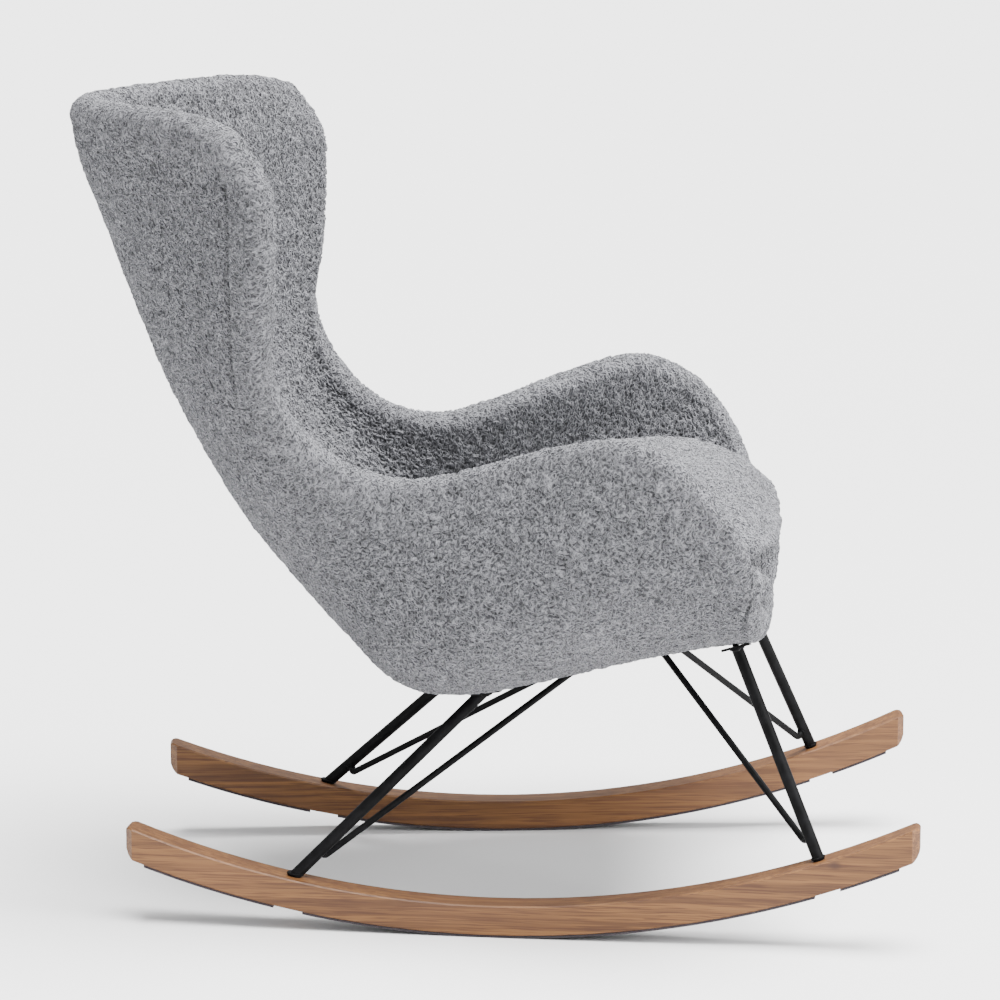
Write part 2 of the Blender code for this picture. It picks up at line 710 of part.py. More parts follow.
def build_rod(end, side, sign, centre_frame, material):
    """A brace rod from a short stub on the leg up to the plate in the middle of the seat."""
    up_leg, top_y, top_x = ROD_ENDS[end]
    turn, point = centre_frame
    under = 2 * GAP + PLATE_THICK + ROD_RADIUS
    along = (top_y - point.y) / (turn @ Vector((0.0, 1.0, 0.0))).y
    top = point + turn @ Vector((sign * top_x, along, under))
    stop = point + turn @ Vector((sign * ROD_TOP_END, along * 0.8, under))
    foot, axis = leg_line(end, sign)
    on_leg = foot + axis * up_leg
    away = top - on_leg
    away = (away - axis * away.dot(axis)).normalized()
    start = on_leg + away * (LEG_RADIUS + GAP)
    bend = on_leg + away * (LEG_RADIUS + GAP + ROD_STUB)
    path = rounded_path([start, bend, top, stop], ROD_BEND)

    line = bpy.data.curves.new(f"brace_rod_{end}_{side}", "CURVE")
    line.dimensions = "3D"
    line.bevel_depth = ROD_RADIUS
    line.bevel_resolution = 3
    line.use_fill_caps = True
    spline = line.splines.new("POLY")
    spline.points.add(len(path) - 1)
    for knot, p in zip(spline.points, path):
        knot.co = (*p, 1.0)
    spline.use_smooth = True
    line.materials.append(material)
    rod = bpy.data.objects.new(f"brace_rod_{end}_{side}", line)
    rod.parent = CHAIR
    bpy.context.scene.collection.objects.link(rod)


def build_centre_plate(materials, layers, padding):
    """The plate under the middle of the seat where the four rods meet."""
    below = Vector((0.0, CENTRE_PLATE_Y, 0.0))
    frame = plate_frame(*plate_seat(padding, below, Vector((0.0, 0.0, 1.0)), CENTRE_PLATE))
    x, y = CENTRE_SCREWS
    holes = ((x, y), (-x, y), (x, -y), (-x, -y))
    build_plate("centre_plate", frame, CENTRE_PLATE, holes, materials["black_steel"])
    for number, (hole_x, hole_y) in enumerate(holes, 1):
        place, way = build_screw(f"centre_screw_{number}", frame, hole_x, hole_y, materials, layers)
        cut(layers[1], f"cut_core_centre_{number}", place - way * 0.03, way, BOLT_RADIUS + BOLT_SLACK, 0.06, 12)
    return frame


# ------------------------------------------------------------------ seat cushion
def seat_surface():
    """The faces of the padded bucket that the cushion lies in, for measuring down to."""
    cells = grid()
    verts = [tuple(shell_point(u, v, 2 * half_thickness(u, v))) for line in cells for u, v in line]
    return BVHTree.FromPolygons(verts, grid_faces(len(cells), len(cells[0])))


def cushion_rings():
    """Rings of the cushion from the inside of its underside to the inside of its top."""
    half = smoothed(CUSHION_OUTLINE, 2)
    mirrored = half[1:-1][::-1] * np.array([-1.0, 1.0])
    outline = np.vstack((half, mirrored))
    centre_y = (outline[:, 1].max() + outline[:, 1].min()) / 2
    tops = np.array(CUSHION_TOP)
    seat = seat_surface()

    def floor(x, y):
        # in front of the padded front edge the cushion hangs level with it
        hit = None
        while hit is None:
            hit = seat.ray_cast(Vector((x, y, 0.8)), Vector((0.0, 0.0, -1.0)))[0]
            y += 0.003
        return hit.z + CUSHION_CLEAR

    def top(y):
        return np.interp(y, tops[:, 0], tops[:, 1])

    rings = []
    for share in (0.2, 0.4, 0.6, 0.75, 0.87):
        places = [(x * share, centre_y + (y - centre_y) * share) for x, y in outline]
        rings.append([(x, y, floor(x, y)) for x, y in places])
    edge_low, edge_high = [], []
    for x, y in outline:
        low_x, low_y = x * 0.94, centre_y + (y - centre_y) * 0.97
        rest = floor(low_x, low_y)
        edge_top = max(top(y) - CUSHION_CROWN, rest + CUSHION_LEAST_BAND)
        edge_low.append((low_x, low_y, max(edge_top - CUSHION_BAND, rest)))
        edge_high.append((x, y, edge_top))
    rings += [edge_low, edge_high]
    for share in (0.97, 0.85, 0.6, 0.3):
        ring = []
        for (x, y), (_, _, edge_top) in zip(outline, edge_high):
            inner_y = centre_y + (y - centre_y) * share
            peak = top(inner_y)
            ring.append((x * share, inner_y, peak - (peak - edge_top) * share**5))
        rings.append(ring)
    return rings, (0.0, centre_y, floor(0.0, centre_y)), (0.0, centre_y, top(centre_y))


def build_cushion(material):
    """The loose seat cushion, plain: the right size and place."""
    rings, low_pole, high_pole = cushion_rings()
    count = len(rings[0])
    verts = [p for ring in rings for p in ring] + [low_pole, high_pole]
    low, high = len(verts) - 2, len(verts) - 1
    faces = []
    for r in range(len(rings) - 1):
        for k in range(count):
            a, b = r * count + k, r * count + (k + 1) % count
            faces.append((a, b, b + count, a + count))
    last = (len(rings) - 1) * count
    for k in range(count):
        n = (k + 1) % count
        faces.append((k, n, low))
        faces.append((last + k, last + n, high))
    return add_mesh("seat_cushion", verts, faces, material, CHAIR, smooth=0.9)


# ------------------------------------------------------------------ assembly
clear_scene()
MATERIALS = {
    "wood": finish_material("oak", (0.50, 0.29, 0.17), 0.45),
    "glide": finish_material("glide_felt", (0.025, 0.02, 0.025), 0.9),
    "steel": finish_material("foot_steel", (0.02, 0.02, 0.022), 0.4, 0.6),
    "black_steel": finish_material("black_steel", (0.015, 0.015, 0.017), 0.38, 0.4),
    "zinc": finish_material("zinc", (0.55, 0.56, 0.58), 0.35, 1.0),
    "plywood": finish_material("plywood", (0.60, 0.45, 0.30), 0.6),
    "boucle": finish_material("grey_boucle", (0.30, 0.30, 0.33), 0.95),
    "cushion": finish_material("cushion_boucle", (0.32, 0.32, 0.35), 0.95),
}
CHAIR = add_frame("chair", (0.0, ORIGIN_SHIFT, 0.0))

OUTER = build_layer("outer_upholstery", 0.0, COVER_THICK, MATERIALS["boucle"])
CORE = build_layer("shell_core", COVER_THICK + GAP, COVER_THICK + GAP + CORE_THICK, MATERIALS["plywood"])
INNER = build_inner_upholstery(MATERIALS["boucle"])
PADDING = tree_of(OUTER, INNER)
build_cushion(MATERIALS["cushion"])
CENTRE = build_centre_plate(MATERIALS, (OUTER, CORE), PADDING)
for SIDE, SIGN in SIDES:
    RAIL = add_frame(f"rail_{SIDE}", (SIGN * ROCKER_HALF_GAUGE, ORIGIN_SHIFT, 0.0), SIGN * TOE_OUT)
    build_rocker(SIDE, RAIL, MATERIALS)
    for END in ("front", "rear"):
        build_leg(END, SIDE, SIGN, MATERIALS, (OUTER, CORE), PADDING)
        build_rod(END, SIDE, SIGN, CENTRE, MATERIALS["black_steel"])
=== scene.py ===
"""Upholstered rocking chair: a bouclé tub on four black steel legs, brace rods and bent oak rockers."""
import math

import bmesh
import bpy
import numpy as np
from mathutils import Matrix, Vector
from mathutils.bvhtree import BVHTree
from mathutils.kdtree import KDTree


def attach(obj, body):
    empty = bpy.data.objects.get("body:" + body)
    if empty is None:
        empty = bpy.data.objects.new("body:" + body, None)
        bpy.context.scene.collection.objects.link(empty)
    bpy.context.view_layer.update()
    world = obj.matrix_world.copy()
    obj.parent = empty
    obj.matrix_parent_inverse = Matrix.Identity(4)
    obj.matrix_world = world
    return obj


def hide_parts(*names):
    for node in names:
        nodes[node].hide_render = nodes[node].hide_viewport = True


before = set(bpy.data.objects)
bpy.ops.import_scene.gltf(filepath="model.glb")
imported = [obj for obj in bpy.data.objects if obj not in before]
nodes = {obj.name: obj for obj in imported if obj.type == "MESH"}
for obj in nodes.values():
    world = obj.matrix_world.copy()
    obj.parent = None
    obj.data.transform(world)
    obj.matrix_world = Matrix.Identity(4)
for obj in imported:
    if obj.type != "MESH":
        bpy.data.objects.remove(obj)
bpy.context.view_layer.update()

# ---------------------------------------------------------------- Oak rockers
# Two boards of light oak sawn to a shallow arc, so that the straight grain runs out at their edges.
# The ends are cut square, chamfered and sanded round, then all is sealed with a satin lacquer.
ROCKER_TOE_OUT = math.radians(4.88)
OAK_PALE = (0.175, 0.076, 0.021)
OAK_MID = (0.082, 0.031, 0.0075)
OAK_DARK = (0.055, 0.018, 0.006)
OAK_PATCH = (0.20, 0.085, 0.033)
OAK_KNOT = (0.04, 0.014, 0.006)
KNOT_AT = (0.2985, -0.4045, 0.1015)   # on the left rocker, and mirrored on the right


class Line:
    """A value on its way through a node tree, with arithmetic as Math nodes."""

    def __init__(self, tree, socket):
        self.tree, self.socket = tree, socket

    def maths(self, operation, first, second=None, third=None):
        values = {k: v for k, v in enumerate((first, second, third)) if v is not None}
        return self.tree.add("ShaderNodeMath", {"operation": operation}, values)

    def __add__(self, other):
        return self.maths("ADD", self, other)

    def __mul__(self, other):
        return self.maths("MULTIPLY", self, other)

    def __sub__(self, other):
        return self.maths("SUBTRACT", self, other)

    def __rsub__(self, other):
        return self.maths("SUBTRACT", other, self)

    def __truediv__(self, other):
        return self.maths("DIVIDE", self, other)

    def __rtruediv__(self, other):
        return self.maths("DIVIDE", other, self)

    __radd__ = __add__
    __rmul__ = __mul__

    def between(self, low, high):
        """0 under low, 1 over high, and smooth between."""
        sockets = {"Value": self, "From Min": low, "From Max": high}
        return self.tree.add("ShaderNodeMapRange", {"interpolation_type": "SMOOTHSTEP"}, sockets)


class Tree:
    """A node tree that is written one node at a time."""

    def __init__(self, tree):
        self.tree = tree

    def add(self, kind, settings=None, sockets=None, output=0):
        node = self.tree.nodes.new(kind)
        for name, value in (settings or {}).items():
            if name == "stops":
                ramp = node.color_ramp.elements
                while len(ramp) < len(value):
                    ramp.new(0.5)
                for stop, (place, colour) in zip(ramp, value):
                    stop.position, stop.color = place, (*colour, 1.0)
            else:
                setattr(node, name, value)
        for name, value in (sockets or {}).items():
            self.join(node.inputs[name], value)
        return Line(self, node.outputs[output])

    def join(self, socket, value):
        if isinstance(value, Line):
            self.tree.links.new(value.socket, socket)
        else:
            socket.default_value = value

    def blend(self, share, first, second):
        """A colour between two."""
        colours = [c if isinstance(c, Line) else (*c, 1.0) for c in (first, second)]
        sockets = {0: share, 6: colours[0], 7: colours[1]}
        return self.add("ShaderNodeMix", {"data_type": "RGBA"}, sockets, output=2)

    def noise(self, where, scale, detail=2.0, roughness=0.5, output=0):
        sockets = {"Vector": where, "Scale": scale, "Detail": detail, "Roughness": roughness}
        return self.add("ShaderNodeTexNoise", None, sockets, output)

    def place(self, turn=(0, 0, 0), stretch=(1, 1, 1), shift=(0, 0, 0)):
        """The point on the piece, turned and stretched for a pattern."""
        raw = self.add("ShaderNodeTexCoord", None, None, output=3)
        sockets = {"Vector": raw, "Location": shift, "Rotation": turn, "Scale": stretch}
        return self.add("ShaderNodeMapping", None, sockets)

    def push(self, where, by, share):
        """A point pushed about by a noise colour."""
        centred = self.add("ShaderNodeVectorMath", {"operation": "SUBTRACT"},
                           {0: by, 1: (0.5, 0.5, 0.5)})
        scaled = self.add("ShaderNodeVectorMath", {"operation": "SCALE"},
                          {0: centred, "Scale": share})
        return self.add("ShaderNodeVectorMath", {"operation": "ADD"}, {0: where, 1: scaled})

    def bump(self, height, strength, distance):
        return self.add("ShaderNodeBump", None,
                        {"Height": height, "Strength": strength, "Distance": distance})


def finish(name, **constants):
    """A Principled material, the tree it is written in, and its shader."""
    material = bpy.data.materials.new(name)
    material.use_nodes = True
    shader = material.node_tree.nodes["Principled BSDF"]
    for socket, value in constants.items():
        shader.inputs[socket.replace("_", " ")].default_value = value
    return material, Tree(material.node_tree), shader


def oak(side, sign):
    material, tree, shader = finish(f"oak_{side}", Coat_Roughness=0.28, Specular_IOR_Level=0.4)
    board = tree.place(turn=(0, 0, -sign * ROCKER_TOE_OUT), shift=(sign * 0.31, 0, 0))
    wavy = tree.push(board, tree.noise(board, 4.0, 2.0, output=1), 0.010)
    stretch = tree.add("ShaderNodeMapping", None, {"Vector": wavy, "Scale": (1.0, 0.022, 1.0)})
    growth = tree.noise(stretch, 120.0, 3.0, 0.6)
    pores_at = tree.add("ShaderNodeMapping", None, {"Vector": wavy, "Scale": (1.0, 0.018, 1.0)})
    pores = tree.noise(pores_at, 620.0, 2.0, 0.6)
    streaks = tree.noise(pores_at, 190.0, 3.0, 0.6)
    patches = tree.noise(board, 5.0, 2.0)
    to_knot = tree.add("ShaderNodeVectorMath", {"operation": "SUBTRACT"},
                       {0: tree.place(stretch=(sign, 1, 1)), 1: KNOT_AT})
    oval = tree.add("ShaderNodeVectorMath", {"operation": "MULTIPLY"},
                    {0: to_knot, 1: (0.5, 0.65, 1.0)})
    from_knot = tree.add("ShaderNodeVectorMath", {"operation": "LENGTH"}, {0: oval}, output=1)
    knot = 1 - from_knot.between(0.0015, 0.0075)
    shade = growth.between(0.40, 0.60) * 0.6 + streaks.between(0.40, 0.62) * 0.5
    colour = tree.blend(shade, OAK_PALE, OAK_MID)
    colour = tree.blend(pores.between(0.50, 0.62) * 0.75, colour, OAK_DARK)
    colour = tree.blend(patches.between(0.4, 0.75) * 0.2, colour, OAK_PATCH)
    colour = tree.blend(knot * 0.85, colour, OAK_KNOT)
    tree.join(shader.inputs["Base Color"], colour)
    tree.join(shader.inputs["Roughness"], 0.44 + pores * 0.16)
    tree.join(shader.inputs["Normal"], tree.bump(pores * 0.6 + growth * 0.4, 0.25, 0.0006))
    return material


for side, sign in (("left", 1), ("right", -1)):
    nodes[f"rocker_{side}"].data.materials[0] = oak(side, sign)

# ---------------------------------------------------------------- Glide strips
# Dense felt strips glued under each rocker in three lengths, so that it runs quietly without marks.
# The felt is dark purple-brown, matted and a little dusty along its edges.
felt, tree, shader = finish("glide_felt", Roughness=0.96, Sheen_Weight=0.15, Sheen_Roughness=0.6)
spot = tree.place()
matting = tree.noise(spot, 900.0, 3.0, 0.7)
dust = tree.noise(spot, 30.0, 4.0, 0.6)
colour = tree.blend(matting.between(0.35, 0.7), (0.012, 0.009, 0.012), (0.045, 0.032, 0.04))
colour = tree.blend(dust.between(0.5, 0.8) * 0.3, colour, (0.09, 0.07, 0.07))
tree.join(shader.inputs["Base Color"], colour)
tree.join(shader.inputs["Normal"], tree.bump(matting, 0.5, 0.0004))
for name, node in nodes.items():
    if name.startswith("glide_"):
        node.data.materials[0] = felt

# ---------------------------------------------------------------- Foot bolts and inserts
# Zinc-plated steel: a bolt and washer sunk in the rocker under each leg, and threaded inserts in the
# plywood.
# The plating is bright, with faint turning lines and a slightly yellow cast.
zinc, tree, shader = finish("zinc", Metallic=1.0)
spot = tree.place()
turning = tree.noise(spot, 1500.0, 2.0)
plating = tree.noise(spot, 240.0, 3.0)
colour = tree.blend(plating.between(0.3, 0.7), (0.50, 0.49, 0.44), (0.62, 0.63, 0.64))
tree.join(shader.inputs["Base Color"], colour)
tree.join(shader.inputs["Roughness"], 0.28 + turning * 0.2)
for name, node in nodes.items():
    if name.startswith(("washer_", "foot_bolt_", "plate_insert_")):
        node.data.materials[0] = zinc

# ---------------------------------------------------------------- Legs, rods and plates
# Round steel tube and rod, bent, welded to flat plates and powder-coated satin black as one set of parts.
# The coat has a fine orange peel and is a touch greyer where it lies thin over the edges.
black, tree, shader = finish("black_powder_coat", Specular_IOR_Level=0.06)
spot = tree.place()
peel = tree.noise(spot, 850.0, 2.0, 0.5)
film = tree.noise(spot, 60.0, 3.0, 0.6)
scuff = tree.noise(spot, 320.0, 4.0, 0.65)
colour = tree.blend(film.between(0.35, 0.7), (0.003, 0.003, 0.0032), (0.006, 0.006, 0.0066))
colour = tree.blend(scuff.between(0.68, 0.8) * 0.25, colour, (0.02, 0.02, 0.021))
tree.join(shader.inputs["Base Color"], colour)
tree.join(shader.inputs["Roughness"], 0.42 + film * 0.14)
tree.join(shader.inputs["Normal"], tree.bump(peel, 0.18, 0.0004))
STEELWORK = ("leg_", "brace_rod_", "centre_", "plate_screw_", "foot_plate_")
for name, node in nodes.items():
    if name.startswith(STEELWORK):
        node.data.materials[0] = black

# ---------------------------------------------------------------- Weld beads
# A small fillet of weld runs round both ends of every leg and round the stub end of every brace rod.
# Each is laid as a ring of overlapping drops, then coated black with the steel.
LEG_RADIUS = 0.007
ROD_RADIUS = 0.004


def corners_of(name):
    mesh = nodes[name].data
    found = np.zeros(len(mesh.vertices) * 3, np.float32)
    mesh.vertices.foreach_get("co", found)
    return found.reshape(-1, 3).astype(float)


def ends_of_tube(name):
    """The middles of a straight tube's two ends, lower first, and its direction up."""
    found = corners_of(name)
    centre = found.mean(0)
    _, _, axes = np.linalg.svd(found - centre, full_matrices=False)
    axis = axes[0] * (1 if axes[0][2] > 0 else -1)
    reach = (found - centre) @ axis
    ends = []
    for low in (True, False):
        edge = reach.min() if low else reach.max()
        near = found[np.abs(reach - edge) < 0.012]
        along = np.median((near - centre) @ axis)
        ends.append(centre + axis * along)
    return ends[0], ends[1], axis


def geometry_tree(name, sizes, finish_name):
    """A Geometry Nodes tree with named sizes and a material, and a line from each of its inputs."""
    group = bpy.data.node_groups.new(name, "GeometryNodeTree")
    kinds = {"Geometry": "NodeSocketGeometry", finish_name: "NodeSocketMaterial"}
    for label in ("Geometry", *sizes, finish_name):
        kind = kinds.get(label, "NodeSocketFloat")
        group.interface.new_socket(label, in_out="INPUT", socket_type=kind)
    group.interface.new_socket("Geometry", in_out="OUTPUT", socket_type="NodeSocketGeometry")
    tree = Tree(group)
    given = group.nodes.new("NodeGroupInput")
    return group, tree, {socket.name: Line(tree, socket) for socket in given.outputs if socket.name}


def weld_tree():
    """A row of overlapping drops along each path."""
    group, tree, sized = geometry_tree("weld_beads", ("Bead size", "Bead spacing"), "Coat")
    path = tree.add("GeometryNodeMeshToCurve", None, {"Mesh": sized["Geometry"]})
    spots = tree.add("GeometryNodeCurveToPoints", {"mode": "LENGTH"},
                     {"Curve": path, "Length": sized["Bead spacing"]})
    drop = tree.add("GeometryNodeMeshIcoSphere", None, {"Radius": sized["Bead size"], "Subdivisions": 2})
    spread = {2: 0.85, 3: 1.15, "Seed": 4}
    size = tree.add("FunctionNodeRandomValue", {"data_type": "FLOAT"}, spread, output=1)
    beads = tree.add("GeometryNodeInstanceOnPoints", None,
                     {"Points": spots, "Instance": drop, "Scale": size})
    real = tree.add("GeometryNodeRealizeInstances", None, {"Geometry": beads})
    smooth = tree.add("GeometryNodeSetShadeSmooth", None, {0: real})
    coated = tree.add("GeometryNodeSetMaterial", None,
                      {"Geometry": smooth, "Material": sized["Coat"]})
    tree.join(group.nodes.new("NodeGroupOutput").inputs[0], coated)
    return group


def grown(piece, group, **inputs):
    """The plain mesh that a Geometry Nodes tree makes of a piece."""
    modifier = piece.modifiers.new(group.name, "NODES")
    modifier.node_group = group
    for socket in group.interface.items_tree:
        if socket.in_out == "INPUT" and socket.name.replace(" ", "_") in inputs:
            modifier[socket.identifier] = inputs[socket.name.replace(" ", "_")]
    bpy.context.view_layer.update()
    evaluated = piece.evaluated_get(bpy.context.evaluated_depsgraph_get())
    mesh = bpy.data.meshes.new_from_object(evaluated)
    piece.modifiers.remove(modifier)
    piece.data = mesh
    return piece


def shown(name, verts, faces, *materials):
    """A new piece, smooth all over."""
    mesh = bpy.data.meshes.new(name)
    mesh.from_pydata([tuple(v) for v in verts], [], faces)
    mesh.shade_smooth()
    for material in materials:
        mesh.materials.append(material)
    piece = bpy.data.objects.new(name, mesh)
    bpy.context.scene.collection.objects.link(piece)
    return piece


ring_verts, ring_edges = [], []


def weld_round(centre, normal, axis, radius, steps=40):
    """A closed path round a tube where it meets a plane."""
    axis, normal = Vector(axis).normalized(), Vector(normal).normalized()
    first = axis.orthogonal().normalized()
    second = axis.cross(first)
    start = len(ring_verts)
    for k in range(steps):
        a = 2 * math.pi * k / steps
        side = (first * math.cos(a) + second * math.sin(a)) * radius
        side -= axis * (side.dot(normal) / axis.dot(normal))
        ring_verts.append(Vector(centre) + side)
        ring_edges.append((start + k, start + (k + 1) % steps))


for end in ("front", "rear"):
    for side in ("left", "right"):
        low, high, axis = ends_of_tube(f"leg_{end}_{side}")
        foot_plate = corners_of(f"foot_plate_{end}_{side}")
        _, _, across = np.linalg.svd(foot_plate - foot_plate.mean(0), full_matrices=False)
        weld_round(foot_plate.mean(0) + axis * 0.001, across[2], axis, LEG_RADIUS + 0.0002)
        plate = corners_of(f"leg_plate_{end}_{side}")
        _, _, across = np.linalg.svd(plate - plate.mean(0), full_matrices=False)
        under = plate.mean(0) - across[2] * math.copysign(0.0018, across[2][2])
        reach = np.dot(under - low, across[2]) / np.dot(axis, across[2])
        weld_round(low + axis * reach, across[2], axis, LEG_RADIUS + 0.0004)

        rod = corners_of(f"brace_rod_{end}_{side}")
        off = rod - low
        off -= np.outer(off @ axis, axis)
        nearest = rod[np.linalg.norm(off, axis=1) < np.linalg.norm(off, axis=1).min() + 0.0004]
        stub = nearest.mean(0)
        away = stub - low
        away -= axis * (away @ axis)
        weld_round(stub, away, away, ROD_RADIUS + 0.0002, 28)

weld_mesh = bpy.data.meshes.new("weld_beads")
weld_mesh.from_pydata([tuple(v) for v in ring_verts], ring_edges, [])
welds = bpy.data.objects.new("weld_beads", weld_mesh)
bpy.context.scene.collection.objects.link(welds)
grown(welds, weld_tree(), Bead_size=0.0013, Bead_spacing=0.0016, Coat=black)
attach(welds, "chair")

# ---------------------------------------------------------------- Bouclé cover
# A thick grey looped yarn cloth, stapled and sewn over foam. The loops wind about in ridges a few millimetres
# apart;
# the colour paints a highlight on their tips and shade in the dark gaps between them.
# Colours of the pile: the tip colour is a painted highlight and the gap colour is painted shade; the side
# colour is the yarn's own grey, and the worn colour is real wear.
LOOP_TIP_HIGHLIGHT = (0.30, 0.30, 0.326)
LOOP_SIDE = (0.095, 0.095, 0.106)
LOOP_GAP_SHADE = (0.008, 0.008, 0.010)
LOOP_WORN = (0.12, 0.12, 0.132)
LOOP_SIZE = 0.0060
TUB_PILE = 0.0044                # height of the pile on the tub's covers
CUSHION_PILE = 0.0042


def curls(tree, spot, size):
    """Height of the pile, about 0 to 1: yarn that winds about in small loops, raised in tufts."""
    wound = tree.push(spot, tree.noise(spot, 0.9 / size, 1.0, 0.5, output=1), size * 0.9)
    winding = tree.noise(wound, 1.15 / size, 1.0, 0.45) - 0.5
    yarn = 1 - winding.maths("ABSOLUTE", winding) * 7.0
    tufts = tree.noise(spot, 0.42 / size, 1.0, 0.5)
    return yarn.between(-0.1, 1.0) * 0.7 + (tufts - 0.35) * 1.1


def boucle(name, shift):
    material, tree, shader = finish(name, Roughness=1.0, Sheen_Weight=0.35, Sheen_Roughness=0.5,
                                    Specular_IOR_Level=0.05)
    shader.inputs["Sheen Tint"].default_value = (0.95, 0.96, 1.0, 1.0)
    spot = tree.place()
    height = curls(tree, spot, LOOP_SIZE)
    fibre = tree.noise(spot, 620.0, 2.0, 0.65)
    wear = tree.noise(tree.place(shift=shift), 9.0, 3.0, 0.5)
    full = height * 0.75 + fibre * 0.55
    # Painted shade in the gaps and a painted highlight on the tips, both following the height of the pile.
    colour = tree.blend(full.between(0.15, 0.62), LOOP_GAP_SHADE, LOOP_SIDE)
    colour = tree.blend(full.between(0.5, 1.05), colour, LOOP_TIP_HIGHLIGHT)
    colour = tree.blend(wear.between(0.35, 0.7) * 0.12, colour, LOOP_WORN)
    # Painted shade in the crease by the tub's seam and along the cushion's seams, darkening the cloth towards
    # the gap colour.
    fold = tree.add("ShaderNodeAttribute", {"attribute_name": "fold"}, None, output=2)
    colour = tree.blend(fold.between(0.0, 1.0) * 0.62, colour, LOOP_GAP_SHADE)
    tree.join(shader.inputs["Base Color"], colour)
    tree.join(shader.inputs["Normal"], tree.bump(full, 1.0, 0.012))
    return material


def fluff_tree():
    """Raises the cover in loops and tufts, along the way that each point faces."""
    group, tree, sized = geometry_tree("loops", ("Loop size", "Loop height"), "Cloth")
    spot = tree.add("GeometryNodeInputPosition")
    rise = (curls(tree, spot, sized["Loop size"]) - 0.5) * sized["Loop height"]
    away = tree.add("GeometryNodeInputNamedAttribute", {"data_type": "FLOAT_VECTOR"},
                    {"Name": "away"})
    offset = tree.add("ShaderNodeVectorMath", {"operation": "SCALE"}, {0: away, "Scale": rise})
    raised = tree.add("GeometryNodeSetPosition", None,
                      {"Geometry": sized["Geometry"], "Offset": offset})
    real = tree.add("GeometryNodeRealizeInstances", None, {"Geometry": raised})
    clothed = tree.add("GeometryNodeSetMaterial", None,
                       {"Geometry": real, "Material": sized["Cloth"]})
    tree.join(group.nodes.new("NodeGroupOutput").inputs[0], clothed)
    return group


def facing(piece, rows, fold_shades):
    """Notes which way each point of a cover faces, for its loops, and how much painted shade it takes in a
    fold.
    """
    noted = piece.data.attributes
    noted.new("away", "FLOAT_VECTOR", "POINT").data.foreach_set("vector", np.ravel(rows))
    noted.new("fold", "FLOAT", "POINT").data.foreach_set("value", np.ravel(fold_shades))


def folded_at(piece, ring):
    """Ends the smooth shading where a cover turns in at its hidden edge."""
    corners = np.zeros(len(piece.data.edges) * 2, np.int32)
    piece.data.edges.foreach_get("vertices", corners)
    sharp = np.isin(corners.reshape(-1, 2), ring).all(axis=1)
    piece.data.attributes.new("sharp_edge", "BOOLEAN", "EDGE").data.foreach_set("value", sharp)


LOOPS = fluff_tree()

# ---------------------------------------------------------------- Bucket: outer and inner upholstery
# The moulded plywood tub is padded on both sides. The inner foam rolls over the rim to a seam on the outside,
# where the outer cover is sewn to it in a soft crease.
COVER_THICK = 0.005
CORE_THICK = 0.011
RIM_HALF = 0.020
RIM_BAND = 0.034
FRONT_BAND = 0.010
SEAM_DIP = 0.0002                # how far the covers sink towards the seam
CREASE_DEPTH, CREASE_WIDTH = 0.0042, 0.007
SHOULDER_RISE, SHOULDER_WIDTH = 0.0018, 0.022
CHAIR_SHIFT = -0.0053
CORNER_DROP = 0.018              # rounding of the back's upper corners
# rows from the seat's front edge to the top of the back: spine y, z; rim x, y, z; flat share of the
# half width; wall control point as shares of width and depth; half the thickness at the spine
SHELL_ROWS = np.array((
    (-0.300, 0.353, 0.318, -0.300, 0.433, 0.75, 0.97, 0.35, 0.0275),
    (-0.220, 0.336, 0.342, -0.271, 0.493, 0.74, 0.95, 0.38, 0.0275),
    (-0.130, 0.315, 0.346, -0.221, 0.549, 0.78, 0.97, 0.34, 0.0275),
    (-0.040, 0.294, 0.322, -0.153, 0.579, 0.86, 1.02, 0.24, 0.0265),
    (0.040, 0.280, 0.281, -0.062, 0.560, 0.95, 1.06, 0.15, 0.0250),
    (0.105, 0.285, 0.248, 0.029, 0.529, 0.91, 1.09, 0.19, 0.0240),
    (0.165, 0.331, 0.234, 0.104, 0.516, 0.72, 1.06, 0.36, 0.0220),
    (0.222, 0.391, 0.242, 0.172, 0.536, 0.60, 1.00, 0.47, 0.0210),
    (0.280, 0.463, 0.262, 0.227, 0.586, 0.57, 0.97, 0.50, 0.0200),
    (0.330, 0.542, 0.284, 0.256, 0.651, 0.50, 0.90, 0.55, 0.0200),
    (0.376, 0.625, 0.310, 0.257, 0.716, 0.45, 0.84, 0.60, 0.0200),
    (0.415, 0.718, 0.328, 0.256, 0.783, 0.40, 0.78, 0.66, 0.0200),
    (0.450, 0.810, 0.333, 0.256, 0.843, 0.35, 0.74, 0.70, 0.0200),
    (0.478, 0.881, 0.330, 0.260, 0.888, 0.31, 0.71, 0.71, 0.0200),
    (0.489, 0.932, 0.316, 0.288, 0.940, 0.30, 0.70, 0.72, 0.0200),
))
TOP_ROW = len(SHELL_ROWS) - 1
ACROSS = 460                     # cells across the tub
UPWARDS = 500                    # cells from the front edge to the top
ROLL = 16                        # facets round the rolled rim
BAND_STEPS = 12                  # facets from the rolled rim to the seam
EVERY = 10                       # fine cells to one cell of a cover's hidden face
SLOPE_STEP = 0.02                # step in u and v for measuring slopes


def row_at(u):
    rows = np.vstack((2 * SHELL_ROWS[0] - SHELL_ROWS[1], SHELL_ROWS, 2 * SHELL_ROWS[-1] - SHELL_ROWS[-2]))
    k = int(min(max(math.floor(u), 0), TOP_ROW - 1))
    t = u - k
    a, b, c, d = rows[k:k + 4]
    square, cube = 2 * a - 5 * b + 4 * c - d, 3 * b - a - 3 * c + d
    return 0.5 * (2 * b + (c - a) * t + square * t**2 + cube * t**3)


